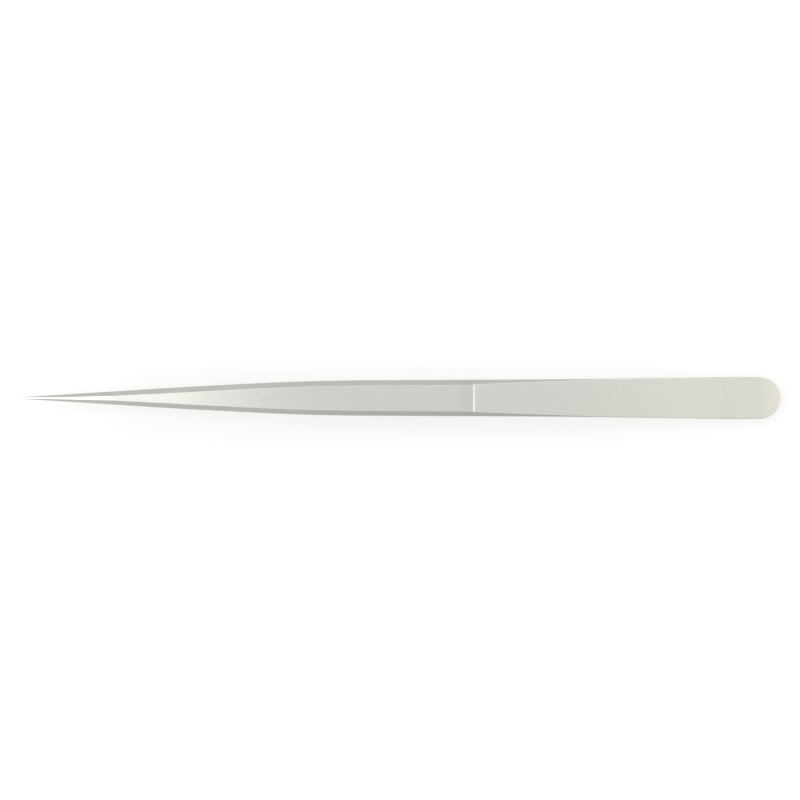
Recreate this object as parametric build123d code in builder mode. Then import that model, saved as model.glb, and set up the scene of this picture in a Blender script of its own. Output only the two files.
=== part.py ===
"""Long-tip tweezers: two bevelled steel leaves, welded face to face at the tail.

A leaf is drawn in the tweezers' own frame. The weld plane is Z = 0, the tail end is at
X = 0 and the tips point along -X, so that a station, the distance from the tail end, is
-X. The pair is then turned to lie on the lower leaf's grip flat, with Z = 0 on the bench.
"""

import os
from math import cos, radians, sin, tan

from build123d import *

# Lengths of the leaf's stretches from the tail to the point, in millimetres
REAR_LENGTH = 56.8  # to the step where the grip starts
GRIP_LENGTH = 23.2
BELLY_LENGTH = 31.2  # long gentle bend between the grip and the taper
TAPER_LENGTH = 13.4
NEEDLE_LENGTH = 5.5  # first ground facet
POINT_LENGTH = 9.9  # second ground facet

# Outline in plan
TAIL_STATION = 7.6  # widest place
TAIL_WIDTH = 7.77
TAIL_REACH = 1.6  # how far the corner's rounding runs to each side
TAIL_FALL = 0.085  # how much nearer the middle each side is where the round end starts
WAIST_STATION = 38.5  # where the tail's flare ends
WAIST_WIDTH = 6.89
WAIST_REACH = 5.0
SHOULDER_AHEAD = 7.0  # from the grip's front end to where the sides turn inwards
SHOULDER_WIDTH = 6.4
SHOULDER_REACH = 11.0
TAPER_WIDTH = 3.87  # at the belly's front end
TAPER_REACH = 1.5
POINT_WIDTH = 0.28

# Side profile of one leaf
WELD_LAND = 7.6  # flat that is welded to the other leaf
WELD_BEND_RADIUS = 60.0  # on the inner face
ARM_ANGLE = 3.2  # between the arm and the weld plane, in degrees
INNER_FALL = 0.3  # slope of the inner face in front of the belly, in degrees
OUTER_FALL = 2.0  # slope of the outer face there
GRIP_THICKNESS = 1.95
SPRING_THICKNESS = 1.43  # thinned rear stretch, which bends when the tips are closed

# Edges. A lean is how much the grinder made the upper leaf's bevel wider on the left (+Y)
# and narrower on the right.
BEVEL_WIDTH = 0.93  # along the outer face as far as the taper
BEVEL_LEAN = 0.07
BEVEL_LEFTOVER = 0.06  # height of the bevel that the thinning leaves at the spring
TAIL_BREAK = 0.05  # on the outer face's edge, round the tail end
INNER_BREAK = 0.12  # on the inner face's edges, up to the neck
POINT_BREAK = 0.03

# Step at the grip's rear end, and the thinning behind it
STEP_RUN = 0.35
STEP_DROP = 0.05
HEEL_RUN = 3.5  # shallow relief in front of the step
HEEL_DROP = 0.03
THINNING_LENGTH = 28.8
THINNING_MIDDLE = 9.3  # behind the step
THINNING_RISE = 0.25  # thickness over the spring's there
THINNING_SLOPE = 1.0  # at the step, in degrees

# Needle, with its bevels' widths along the outer face
NECK_BEVEL = 0.755
NECK_LEAN = 0.045
FACET_THICKNESS = 0.74
FACET_BEVEL = 0.55
FACET_LEAN = 0.06
FACET_RUN = 0.3  # small step between the two facets
FACET_DROP = 0.04
POINT_THICKNESS = 0.26
POINT_BEVEL = 0.075
POINT_LEAN = 0.015

MARGIN = 1.8  # straight stretch left behind a bend, before the next form starts
BEYOND = 5.0  # how far blanks and cuts pass the finished faces

step_station = REAR_LENGTH
grip_end = step_station + GRIP_LENGTH
belly_station = grip_end + BELLY_LENGTH / 2
neck_station = grip_end + BELLY_LENGTH + TAPER_LENGTH
facet_station = neck_station + NEEDLE_LENGTH
length = facet_station + POINT_LENGTH
blade_end = grip_end + BELLY_LENGTH + MARGIN
shoulder_station = grip_end + SHOULDER_AHEAD

arm = radians(ARM_ANGLE)
bend_station = WELD_LAND + WELD_BEND_RADIUS * tan(arm / 2)
bevel_height = GRIP_THICKNESS - SPRING_THICKNESS + BEVEL_LEFTOVER
tail_radius = TAIL_WIDTH / 2 - TAIL_FALL


def on_arm(station, thickness):
    """Point of the side profile, at a thickness over the arm's inner face."""
    height = (station - bend_station) * tan(arm)
    return (-station + thickness * sin(arm), height + thickness * cos(arm))


def over_bend(thickness):
    """Corner of the side profile between weld land and arm, at a thickness."""
    return (-bend_station + thickness * tan(arm / 2), thickness)


def ahead(corner, station, fall):
    """Point at a station on the line that falls away in front of a corner."""
    return (-station, corner[1] - (station + corner[0]) * tan(radians(fall)))


def between(station, near, far):
    """Value at a station on the straight line through two (station, value) pairs."""
    share = (station - near[0]) / (far[0] - near[0])
    return near[1] + share * (far[1] - near[1])


def rounding(before, corner, after, reach):
    """Radius that rounds a corner over the same reach on both sides."""
    turn = (Vector(corner) - Vector(before)).get_angle(Vector(after) - Vector(corner))
    return reach / tan(radians(turn / 2))


inner_belly = on_arm(belly_station, 0)
outer_belly = on_arm(belly_station, GRIP_THICKNESS)
inner_side = [
    (BEYOND, 0),
    over_bend(0),
    inner_belly,
    ahead(inner_belly, blade_end, INNER_FALL),
]
outer_side = [
    (BEYOND, GRIP_THICKNESS),
    over_bend(GRIP_THICKNESS),
    outer_belly,
    ahead(outer_belly, blade_end, OUTER_FALL),
]
tail_side = (tail_radius, tail_radius), (TAIL_STATION, TAIL_WIDTH / 2)
front_side = (grip_end + BELLY_LENGTH, TAPER_WIDTH / 2), (length, POINT_WIDTH / 2)
long_edge = [
    (BEYOND, between(-BEYOND, *tail_side)),
    (-TAIL_STATION, TAIL_WIDTH / 2),
    (-WAIST_STATION, WAIST_WIDTH / 2),
    (-shoulder_station, SHOULDER_WIDTH / 2),
    (-front_side[0][0], TAPER_WIDTH / 2),
    (-blade_end, between(blade_end, *front_side)),
]
reaches = (TAIL_REACH, WAIST_REACH, SHOULDER_REACH, TAPER_REACH)
beside = Plane.XZ.offset(-TAIL_WIDTH)  # side profiles cut right across from here


def needle_section(station, half, thickness, bevels, slopes, edge_break):
    """Cross-section of the needle, bevelled on its outer side and broken on its inner."""
    floor = ahead(inner_belly, station, INNER_FALL)[1]
    top = floor + thickness
    left, right = bevels
    return [
        (edge_break - half, floor),
        (half - edge_break, floor),
        (half, floor + edge_break),
        (half, top - left * slopes[0]),
        (half - left, top),
        (right - half, top),
        (-half, top - right * slopes[1]),
        (-half, floor + edge_break),
    ]


def shaped_leaf(lean):
    """Leaf over the weld plane, whose bevels take a share of each lean."""

    def both_sides(width, shift):
        return (width + lean * shift, width - lean * shift)

    bevels = both_sides(BEVEL_WIDTH, BEVEL_LEAN)
    slopes = [bevel_height / width for width in bevels]

    with BuildPart() as leaf:
        # Bent blank, which runs past the tail end
        with BuildSketch(beside):
            with BuildLine():
                FilletPolyline(
                    *inner_side,
                    radius=[
                        WELD_BEND_RADIUS,
                        rounding(*inner_side[1:], BELLY_LENGTH / 2),
                    ],
                )
                FilletPolyline(
                    *outer_side,
                    radius=[
                        WELD_BEND_RADIUS - GRIP_THICKNESS,
                        rounding(*outer_side[1:], BELLY_LENGTH / 2),
                    ],
                )
                Line(inner_side[0], outer_side[0])
                Line(inner_side[-1], outer_side[-1])
            make_face()
        extrude(amount=2 * TAIL_WIDTH)

        # Sides of the plan outline
        with BuildSketch():
            with BuildLine():
                FilletPolyline(
                    *long_edge,
                    radius=[
                        rounding(*long_edge[corner : corner + 3], reach)
                        for corner, reach in enumerate(reaches)
                    ],
                )
                Polyline(long_edge[-1], (-blade_end, 0), (BEYOND, 0), long_edge[0])
            make_face()
            mirror(about=Plane.XZ)
        extrude(amount=length, mode=Mode.INTERSECT)

        # Bevels along the outer face
        upright = Axis((0, 0, 0), (sin(arm), 0, cos(arm)))
        for side, width in zip((-1, 0), bevels):
            flats = leaf.faces().filter_by(GeomType.PLANE).filter_by(upright)
            grip = flats.sort_by(Axis.Z)[-1]
            chamfer(grip.edges().sort_by(Axis.Y)[side], width, bevel_height, reference=grip)

        # Thinning of the rear stretch, which runs the bevel out
        heel = on_arm(step_station + HEEL_RUN, GRIP_THICKNESS)
        crest = on_arm(step_station, GRIP_THICKNESS - HEEL_DROP)
        foot = on_arm(step_station - STEP_RUN, GRIP_THICKNESS - HEEL_DROP - STEP_DROP)
        middle = on_arm(step_station - THINNING_MIDDLE, SPRING_THICKNESS + THINNING_RISE)
        spring = on_arm(step_station - THINNING_LENGTH, SPRING_THICKNESS)
        tail = (BEYOND, SPRING_THICKNESS)
        above = heel[1] + BEYOND
        start = arm + radians(THINNING_SLOPE)
        with BuildSketch(beside):
            with BuildLine():
                Polyline(heel, crest, foot)
                Spline(
                    foot,
                    middle,
                    spring,
                    tangents=[(cos(start), -sin(start)), (cos(arm), -sin(arm))],
                )
                FilletPolyline(
                    spring,
                    over_bend(SPRING_THICKNESS),
                    tail,
                    radius=WELD_BEND_RADIUS - SPRING_THICKNESS,
                )
                Polyline(tail, (BEYOND, above), (heel[0], above), heel)
            make_face()
        extrude(amount=2 * TAIL_WIDTH, mode=Mode.SUBTRACT)

        # Round tail end, with its edges broken, and the inner face's edges all along
        with BuildSketch():
            with Locations((-tail_radius, 0)):
                Rectangle(tail_radius + BEYOND, 2 * TAIL_WIDTH, align=(Align.MIN, Align.CENTER))
                Circle(tail_radius, mode=Mode.SUBTRACT)
        extrude(amount=length, mode=Mode.SUBTRACT)
        wall = leaf.faces().filter_by(GeomType.CYLINDER).sort_by(Axis.X)[-1]
        lands = leaf.faces().filter_by(Axis.Z).sort_by(Axis.Z)
        chamfer(wall.edges() & lands[-1].edges(), TAIL_BREAK)
        lands = leaf.faces().filter_by(Axis.Z).sort_by(Axis.Z)
        chamfer(lands[0].edges().filter_by(GeomType.CIRCLE), INNER_BREAK)

        # Needle, from the taper's cut end to the point
        taper = ahead(outer_belly, neck_station, OUTER_FALL)[1]
        neck_thickness = taper - ahead(inner_belly, neck_station, INNER_FALL)[1]
        edge_breaks = (neck_station, INNER_BREAK), (length, POINT_BREAK)
        facet_rear = facet_station - FACET_RUN / 2
        facet_front = facet_station + FACET_RUN / 2
        needle = [
            (neck_station, neck_thickness, NECK_BEVEL, NECK_LEAN),
            (facet_rear, FACET_THICKNESS + FACET_DROP / 2, FACET_BEVEL, FACET_LEAN),
            (facet_front, FACET_THICKNESS - FACET_DROP / 2, FACET_BEVEL, FACET_LEAN),
            (length, POINT_THICKNESS, POINT_BEVEL, POINT_LEAN),
        ]
        add(leaf.faces().sort_by(Axis.X)[0])
        for station, thickness, width, shift in needle:
            half = between(station, *front_side)
            edge_break = between(station, *edge_breaks)
            sides = both_sides(width, shift)
            outline = needle_section(station, half, thickness, sides, slopes, edge_break)
            with BuildSketch(Plane.YZ.offset(-station)):
                Polygon(*outline, align=None)
        loft(ruled=True)
    return leaf.part


upper = shaped_leaf(lean=1)
lower = mirror(shaped_leaf(lean=0), about=Plane.XY)

# The pair lies on the lower leaf's grip flat and its tail end, with the origin under its middle
with BuildPart() as pair:
    with Locations(Location((0, 0, 0), (0, ARM_ANGLE, 0))):
        add([upper, lower])
box = pair.part.bounding_box()
lying = Location((-box.center().X, 0, -box.min.Z), (0, ARM_ANGLE, 0))

with BuildPart() as upper_leaf:
    with Locations(lying):
        add(upper)
upper_leaf.part.label = "upper_leaf"

with BuildPart() as lower_leaf:
    with Locations(lying):
        add(lower)
lower_leaf.part.label = "lower_leaf"

os.makedirs("parts", exist_ok=True)
export_step(upper_leaf.part, "parts/upper_leaf.step")
export_step(lower_leaf.part, "parts/lower_leaf.step")
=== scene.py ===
"""Long-tip tweezers of satin steel on a plain white floor, seen straight onto the upper leaf."""

from math import atan, cos, pi, radians, sin, tan

import bpy
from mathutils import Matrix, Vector


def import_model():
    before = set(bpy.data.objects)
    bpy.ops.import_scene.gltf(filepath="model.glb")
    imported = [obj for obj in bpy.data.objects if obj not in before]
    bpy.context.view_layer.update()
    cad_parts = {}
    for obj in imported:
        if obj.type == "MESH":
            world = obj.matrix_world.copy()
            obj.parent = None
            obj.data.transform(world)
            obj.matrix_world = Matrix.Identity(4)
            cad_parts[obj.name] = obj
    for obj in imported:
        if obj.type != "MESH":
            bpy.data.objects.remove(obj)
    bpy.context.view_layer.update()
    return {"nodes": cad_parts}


# The leaves open by this angle on each side, so the upper leaf's weld land, and with it
# the camera, is tilted by it towards the tail
ARM_ANGLE = radians(3.2)
ALONG = (cos(ARM_ANGLE), 0.0, -sin(ARM_ANGLE))  # in the weld plane, from the tips to the tail

# Camera: a very long lens far away, as the photograph shows no perspective
FRAME_WIDTH = 0.1469
CAMERA_LENS = 500.0
CAMERA_SENSOR = 36.0
AIM = (0.00037, -0.00037, 0.0124)

WHITE = (1.0, 1.0, 1.0)

# Colours of the metal, as linear values; the first two are the steel and its clouds, the others
# are painted sheen and painted highlights
STEEL = (0.508, 0.532, 0.497)
STEEL_DARK = (0.494, 0.518, 0.483)
# painted sheen: the spring's faces are made lighter in place of the light they mirror
SPRING_PAINTED_SHEEN = (0.512, 0.537, 0.498)
# painted sheen: the rear is made lighter and yellower in place of the light it mirrors
REAR_PAINTED_SHEEN = (0.572, 0.575, 0.522)
# painted highlight on the tail end, yellower in hue
TAIL_PAINTED_HIGHLIGHT = (0.64, 0.63, 0.56)
# the needle's polish is real, but this lighter colour is a painted highlight
NEEDLE_PAINTED_HIGHLIGHT = (0.60, 0.615, 0.58)

# Stations, or distances from the tail end along the weld plane, in metres, between which
# a zone of finish or of painted light fades: painted sheen, painted highlight or painted shade
TAIL_HIGHLIGHT_STATIONS = (0.0004, 0.0045)
REAR_SHEEN_STATIONS = (0.020, 0.042)
SPRING_SHEEN_STATIONS = (0.0562, 0.0566)
HEEL_START = (0.0567, 0.0569)
HEEL_FADE = (0.0569, 0.0602)
NEEDLE = (0.1225, 0.1245)
NEEDLE_SLANT = -0.7  # of the needle's rear boundary, for each metre across

# Finish, and the painted shade at the heel
BRUSHING_SCALE = (300.0, 7000.0, 7000.0)
BRUSHING_DEPTH = 0.00002
CLOUD_SCALE = 90.0
FLAT_TILT = (0.15, 0.35)  # sideways part of the normal from which a face counts as a bevel
CROWN_RADIUS = 0.13  # of the faces, which polishing leaves very slightly domed across
EDGE_RADIUS = 0.00012
SATIN_ROUGHNESS = (0.26, 0.30)
NEEDLE_POLISH = 0.12  # how much less rough the needle is
# painted shade in front of the step: how much of the dark grey below goes into the colour there
HEEL_PAINTED_SHADE = 0.09
SHADE_GREY = (0.2, 0.2, 0.2)

# Studio: a floor, a card along each side, and lamps that look straight down
FLOOR_SIZE = 8.0
FLOOR_GLOW = 0.68  # what the camera sees of it in full shadow
FLOOR_SHADE = 0.35  # how much of the light on it adds to that
WORLD_LIGHT = 0.45
CARD_SIZE = (1.6, 0.5)
CARD_DISTANCE = 0.45
CARD_HEIGHT = 0.32
CARD_REACH = 0.12  # from the middle to where a card's brightness stops changing
CARDS = {  # side, brightness near the tips, brightness near the tail
    "back_card": (1, 0.98, 0.93),
    "front_card": (-1, 0.98, 0.68),
}
LAMPS = {  # place, size, radiance, colour
    "key": ((-0.592, 0.0, 1.2), (1.0, 1.2), 1.6, (1.03, 1.0, 0.95)),
    "fill": ((0.75, 0.0, 1.0), (0.6, 1.0), 1.25, (1.06, 1.0, 0.88)),
    "top": ((0.1, 0.62, 1.0), (0.9, 0.5), 1.4, (1.0, 1.0, 1.0)),
}

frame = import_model()


class Nodes:
    """A small helper that adds and links shader nodes."""

    def __init__(self, tree):
        self.tree = tree
        tree.nodes.clear()

    def add(self, kind, inputs=None, **settings):
        node = self.tree.nodes.new(kind)
        for name, value in settings.items():
            setattr(node, name, value)
        for name, value in (inputs or {}).items():
            socket = node.inputs[name]
            if isinstance(value, bpy.types.NodeSocket):
                self.tree.links.new(value, socket)
            else:
                socket.default_value = value
        return node

    def math(self, operation, a, b=0.0, clamp=False):
        node = self.add("ShaderNodeMath", {0: a, 1: b}, operation=operation, use_clamp=clamp)
        return node.outputs[0]

    def ramp(self, value, low, high, to_low=0.0, to_high=1.0, smooth=False):
        kind = "SMOOTHSTEP" if smooth else "LINEAR"
        inputs = {
            "Value": value,
            "From Min": low,
            "From Max": high,
            "To Min": to_low,
            "To Max": to_high,
        }
        return self.add("ShaderNodeMapRange", inputs, interpolation_type=kind).outputs[0]

    def noise(self, vector, scale, detail, roughness):
        inputs = {"Vector": vector, "Scale": scale, "Detail": detail, "Roughness": roughness}
        return self.add("ShaderNodeTexNoise", inputs).outputs[0]

    def bump(self, height, strength, distance, normal):
        inputs = {"Strength": strength, "Distance": distance, "Height": height, "Normal": normal}
        return self.add("ShaderNodeBump", inputs).outputs[0]

    def mix(self, factor, a, b):
        return self.add("ShaderNodeMix", {0: factor, 6: a, 7: b}, data_type="RGBA").outputs[2]


def rgba(colour):
    return (*colour, 1.0)


def seen_directly(n):
    """1 on camera, glossy and transmission rays, 0 on the rays that light the scene."""
    path = n.add("ShaderNodeLightPath").outputs
    glossy = n.math("ADD", path["Is Glossy Ray"], path["Is Transmission Ray"])
    return n.math("ADD", path["Is Camera Ray"], glossy, clamp=True)


def new_material(name):
    material = bpy.data.materials.new(name)
    material.use_nodes = True
    return material, Nodes(material.node_tree)


def steel(tail_end):
    """Satin stainless steel, brushed lengthwise, with painted sheen, painted highlights and
    painted shade in zones along the leaf.
    """
    material, n = new_material("satin_steel")
    coordinates = n.add("ShaderNodeTexCoord").outputs
    place = coordinates["Object"]
    across = n.add("ShaderNodeSeparateXYZ", {0: place}).outputs[1]
    along = n.add("ShaderNodeVectorMath", {0: place, 1: ALONG}, operation="DOT_PRODUCT")
    station = n.math("SUBTRACT", tail_end, along.outputs["Value"])

    # Short fine streaks along the leaf
    streaks = n.add("ShaderNodeMapping", {"Vector": place, "Scale": BRUSHING_SCALE})
    brushing = n.noise(streaks.outputs[0], 1.0, 2.0, 0.5)

    # Zones of painted light and of polish; the spring's painted sheen and the needle leave out
    # the bevels
    normal = n.add("ShaderNodeSeparateXYZ", {0: coordinates["Normal"]})
    flat = n.ramp(n.math("ABSOLUTE", normal.outputs[1]), *FLAT_TILT, 1.0, 0.0)
    spring_sheen = n.math("MULTIPLY", flat, n.ramp(station, *SPRING_SHEEN_STATIONS, 1.0, 0.0))
    rear_sheen = n.ramp(station, *REAR_SHEEN_STATIONS, 1.0, 0.0)
    tail_highlight = n.ramp(station, *TAIL_HIGHLIGHT_STATIONS, 1.0, 0.0, smooth=True)
    # where the painted shade of the heel lies, just in front of the step
    heel_shade = n.math("MULTIPLY", n.ramp(station, *HEEL_START), n.ramp(station, *HEEL_FADE, 1.0, 0.0))
    slanted = n.math("ADD", station, n.math("MULTIPLY", across, NEEDLE_SLANT))
    needle = n.ramp(slanted, *NEEDLE, smooth=True)

    # Colour, with clouds of slightly duller and brighter metal, then painted sheen, painted
    # highlights and painted shade in zones
    clouds = n.ramp(n.noise(place, CLOUD_SCALE, 3.0, 0.5), 0.35, 0.65)
    colour = n.mix(clouds, rgba(STEEL_DARK), rgba(STEEL))
    # painted sheen on the spring's faces
    colour = n.mix(spring_sheen, colour, rgba(SPRING_PAINTED_SHEEN))
    # painted sheen on the rear, growing towards the tail
    colour = n.mix(rear_sheen, colour, rgba(REAR_PAINTED_SHEEN))
    # painted highlight on the tail end
    colour = n.mix(tail_highlight, colour, rgba(TAIL_PAINTED_HIGHLIGHT))
    # painted shade at the heel
    colour = n.mix(n.math("MULTIPLY", heel_shade, HEEL_PAINTED_SHADE), colour, rgba(SHADE_GREY))
    # painted highlight on the needle's faces
    colour = n.mix(n.math("MULTIPLY", needle, flat), colour, rgba(NEEDLE_PAINTED_HIGHLIGHT))

    # Normals: rounded edges, then a slight dome across the faces, then the brushing
    rounded = n.add("ShaderNodeBevel", {"Radius": EDGE_RADIUS}, samples=6).outputs[0]
    dome = n.math("DIVIDE", n.math("MULTIPLY", across, across), -2.0 * CROWN_RADIUS)
    domed = n.bump(dome, 1.0, 1.0, rounded)
    brushed = n.bump(brushing, 0.04, BRUSHING_DEPTH, domed)

    satin = n.ramp(brushing, 0.3, 0.7, *SATIN_ROUGHNESS)
    polish = n.math("MULTIPLY", needle, NEEDLE_POLISH)
    shader = n.add(
        "ShaderNodeBsdfPrincipled",
        {
            "Base Color": colour,
            "Metallic": 1.0,
            "Roughness": n.math("SUBTRACT", satin, polish),
            "Normal": brushed,
        },
    )
    n.add("ShaderNodeOutputMaterial", {"Surface": shader.outputs[0]})
    return material


def floor_material():
    """Pale floor that the camera sees as white, with the object's shadow kept on it."""
    material, n = new_material("white_floor")
    plain = n.add("ShaderNodeBsdfDiffuse", {"Color": rgba((0.85, 0.85, 0.85))})
    shaded = n.add("ShaderNodeBsdfDiffuse", {"Color": rgba((FLOOR_SHADE,) * 3)})
    glow = n.add("ShaderNodeEmission", {"Color": rgba(WHITE), "Strength": FLOOR_GLOW})
    white = n.add("ShaderNodeAddShader", {0: shaded.outputs[0], 1: glow.outputs[0]})
    surface = n.add(
        "ShaderNodeMixShader",
        {0: seen_directly(n), 1: plain.outputs[0], 2: white.outputs[0]},
    )
    n.add("ShaderNodeOutputMaterial", {"Surface": surface.outputs[0]})
    return material


def card_material(name, near_tips, near_tail):
    """Glowing studio card, whose brightness changes evenly along the tweezers."""
    material, n = new_material(name)
    place = n.add("ShaderNodeTexCoord").outputs["Object"]
    along = n.add("ShaderNodeSeparateXYZ", {0: place}).outputs[0]
    glow = n.ramp(along, -CARD_REACH, CARD_REACH, near_tips, near_tail)
    shader = n.add("ShaderNodeEmission", {"Color": rgba((1.0, 1.0, 0.98)), "Strength": glow})
    n.add("ShaderNodeOutputMaterial", {"Surface": shader.outputs[0]})
    return material


def plane(name, centre, size, rotation, material):
    """Flat rectangle in the studio, which isn't part of the object."""
    x, y = size[0] / 2, size[1] / 2
    mesh = bpy.data.meshes.new(name)
    mesh.from_pydata([(-x, -y, 0), (x, -y, 0), (x, y, 0), (-x, y, 0)], [], [(0, 1, 2, 3)])
    mesh.materials.append(material)
    thing = bpy.data.objects.new(name, mesh)
    thing.location = centre
    thing.rotation_euler = rotation
    bpy.context.scene.collection.objects.link(thing)
    return thing


def softbox(name, place, size, radiance, colour):
    """Rectangular lamp that looks straight down, as bright as a surface of that radiance."""
    lamp = bpy.data.lights.new(name, "AREA")
    lamp.shape = "RECTANGLE"
    lamp.size, lamp.size_y = size
    lamp.energy = radiance * pi * size[0] * size[1]
    lamp.color = colour
    thing = bpy.data.objects.new(name, lamp)
    thing.location = place
    thing.visible_camera = False
    bpy.context.scene.collection.objects.link(thing)


def world():
    """White all round where it is seen or mirrored, and an even light elsewhere."""
    background = bpy.data.worlds.new("studio")
    background.use_nodes = True
    n = Nodes(background.node_tree)
    seen = n.add("ShaderNodeBackground", {"Color": rgba(WHITE), "Strength": 1.0})
    light = n.add("ShaderNodeBackground", {"Color": rgba(WHITE), "Strength": WORLD_LIGHT})
    surface = n.add(
        "ShaderNodeMixShader",
        {0: seen_directly(n), 1: light.outputs[0], 2: seen.outputs[0]},
    )
    n.add("ShaderNodeOutputWorld", {"Surface": surface.outputs[0]})
    bpy.context.scene.world = background


def camera():
    """Camera square to the tweezers' plane of symmetry."""
    half = atan(CAMERA_SENSOR / 2 / CAMERA_LENS)
    distance = FRAME_WIDTH / 2 / tan(half)
    lens = bpy.data.cameras.new("camera")
    lens.lens = CAMERA_LENS
    lens.sensor_width = CAMERA_SENSOR
    thing = bpy.data.objects.new("camera", lens)
    back = Vector((sin(ARM_ANGLE), 0.0, cos(ARM_ANGLE)))
    thing.location = Vector(AIM) + distance * back
    thing.rotation_euler = (0.0, ARM_ANGLE, 0.0)
    bpy.context.scene.collection.objects.link(thing)
    bpy.context.scene.camera = thing


world()
camera()
plane("floor", (0, 0, 0), (FLOOR_SIZE, FLOOR_SIZE), (0, 0, 0), floor_material())
for name, (side, near_tips, near_tail) in CARDS.items():
    centre = (0, side * CARD_DISTANCE, CARD_HEIGHT)
    material = card_material(name, near_tips, near_tail)
    card = plane(name, centre, CARD_SIZE, (radians(90 * side), 0, 0), material)
    card.visible_camera = False
for name, settings in LAMPS.items():
    softbox(name, *settings)

tail_end = max(v.co.dot(Vector(ALONG)) for v in frame["nodes"]["upper_leaf"].data.vertices)
metal = steel(tail_end)
for name in ("upper_leaf", "lower_leaf"):
    node = frame["nodes"][name]
    node.data.materials.clear()
    node.data.materials.append(metal)

bpy.context.scene.view_settings.view_transform = "Standard"
